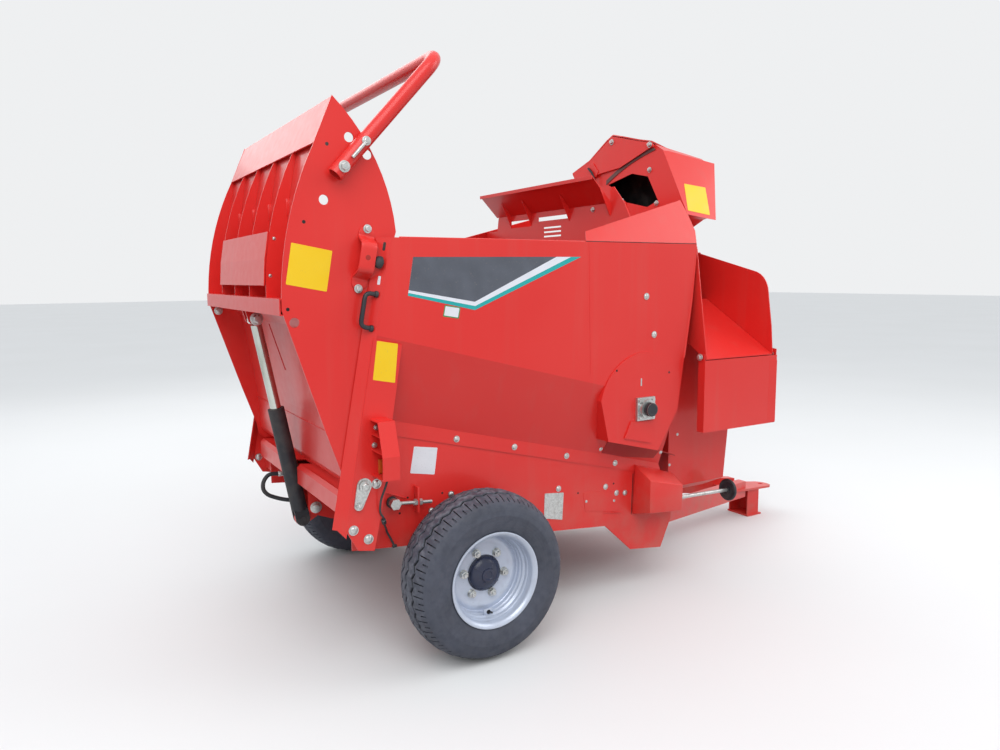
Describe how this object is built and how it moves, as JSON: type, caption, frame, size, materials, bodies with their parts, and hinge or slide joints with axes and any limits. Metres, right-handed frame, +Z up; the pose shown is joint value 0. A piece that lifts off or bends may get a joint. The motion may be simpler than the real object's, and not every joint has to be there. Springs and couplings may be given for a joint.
{
  "type": "trailed bale chopper and straw blower",
  "caption": "Trailed bale chopper and straw blower with a tipping rear tailgate, hopper body, chopping rotor, side outlet with flap, top chute and a drawbar with a skid foot.",
  "frame": {"origin": "middle of the footprint box, on the ground", "axes": "+X towards the drawbar's tip, +Y to the machine's left, +Z up"},
  "size_m": [3.615, 1.823, 2.57],
  "materials": {
    "red_paint": "semi_gloss",
    "dark_red_paint": "satin",
    "galvanised": "satin",
    "worn_steel": "satin",
    "chrome": "polished",
    "rim_paint": "satin",
    "tyre_rubber": "matte",
    "black_rubber": "matte",
    "black_plastic": "matte",
    "dark_casting": "matte",
    "strap_steel": "matte"
  },
  "bodies": {
    "chassis": {"axle": "red_paint", "chassis_side_right": "red_paint", "chassis_side_left": "red_paint", "rear_sill": "red_paint", "rear_post_right": "red_paint", "rear_post_left": "red_paint", "hopper_right": "red_paint", "hopper_left": "red_paint", "floor_deck": "dark_red_paint", "floor_slats": "worn_steel", "front_wall": "red_paint", "deflector_hood": "red_paint", "rotor_trough": "dark_red_paint", "rotor_cover_right": "red_paint", "rotor_cover_left": "red_paint", "rotor_bearing_right": "galvanised", "rotor_bearing_left": "galvanised", "shoulder_right": "red_paint", "shoulder_left": "red_paint", "top_deck": "red_paint", "fan_rear_plate": "red_paint", "fan_shell": "red_paint", "fan_front_plate": "red_paint", "gearbox": "dark_casting", "outlet_ramp": "red_paint", "chute_duct": "red_paint", "chute_strap": "strap_steel", "drive_box": "red_paint", "adjuster": "galvanised", "handwheel": "black_plastic", "drawbar": "red_paint", "gate_pin_right": "galvanised", "gate_pin_left": "galvanised", "gate_buffer": "black_rubber", "grab_handle": "black_plastic", "lamp_guard_right": "red_paint", "lamp_guard_left": "red_paint", "bed_tensioner_right": "galvanised", "bed_tensioner_left": "galvanised", "cylinder_hose": "black_rubber", "lamp_cable": "black_rubber"},
    "wheel_right": {"hub_right": "black_plastic", "rim_right": "rim_paint", "tyre_right": "tyre_rubber"},
    "wheel_left": {"hub_left": "black_plastic", "rim_left": "rim_paint", "tyre_left": "tyre_rubber"},
    "chopping_rotor": {"rotor": "worn_steel"},
    "blower_fan": {"fan": "worn_steel"},
    "tailgate": {"gate_side_right": "red_paint", "gate_side_left": "red_paint", "gate_skin_panel": "red_paint", "gate_frame": "red_paint", "gate_badge_plate": "red_paint", "bale_hoop": "red_paint", "gate_striker": "red_paint"},
    "cylinder_barrel": {"lift_barrel": "black_rubber"},
    "cylinder_rod": {"lift_rod": "chrome"},
    "side_flap": {"outlet_flap": "red_paint"},
    "top_hood": {"chute_hood": "red_paint"}
  },
  "joints": [
    {"name": "wheel_right_spin", "type": "hinge", "parent": "chassis", "child": "wheel_right", "pos_m": [-0.9925, -0.785, 0.37], "axis": [0, 1, 0], "continuous": true},
    {"name": "wheel_left_spin", "type": "hinge", "parent": "chassis", "child": "wheel_left", "pos_m": [-0.9925, 0.785, 0.37], "axis": [0, 1, 0], "continuous": true},
    {"name": "rotor_spin", "type": "hinge", "parent": "chassis", "child": "chopping_rotor", "pos_m": [-0.0475, 0, 1.005], "axis": [0, 1, 0], "continuous": true},
    {"name": "fan_spin", "type": "hinge", "parent": "chassis", "child": "blower_fan", "pos_m": [0.54, 0, 1.035], "axis": [0.9952, 0, -0.0976], "continuous": true},
    {"name": "tailgate_tilt", "type": "hinge", "parent": "chassis", "child": "tailgate", "pos_m": [-1.5185, 0, 0.831], "axis": [0, -1, 0], "range_deg": [0, 88]},
    {"name": "cylinder_swing", "type": "hinge", "parent": "chassis", "child": "cylinder_barrel", "pos_m": [-1.5545, 0, 0.5], "axis": [0, -1, 0], "range_deg": [-1, 68]},
    {"name": "rod_slide", "type": "slide", "parent": "cylinder_barrel", "child": "cylinder_rod", "axis": [-0.1809, 0, 0.9835], "range_m": [-0.363, 0.002]},
    {"name": "outlet_flap_tilt", "type": "hinge", "parent": "chassis", "child": "side_flap", "pos_m": [0.5425, -0.82, 1.245], "axis": [-1, 0, 0], "range_deg": [0, 90]},
    {"name": "chute_hood_tilt", "type": "hinge", "parent": "chassis", "child": "top_hood", "pos_m": [0.3075, -0.402, 2.35], "axis": [1, 0, 0], "range_deg": [0, 25]}
  ],
  "couplings": [
    {"joint": "cylinder_swing", "follows": "tailgate_tilt", "ratio": 0.75959},
    {"joint": "rod_slide", "follows": "tailgate_tilt", "m_per_rad": -0.23489}
  ]
}
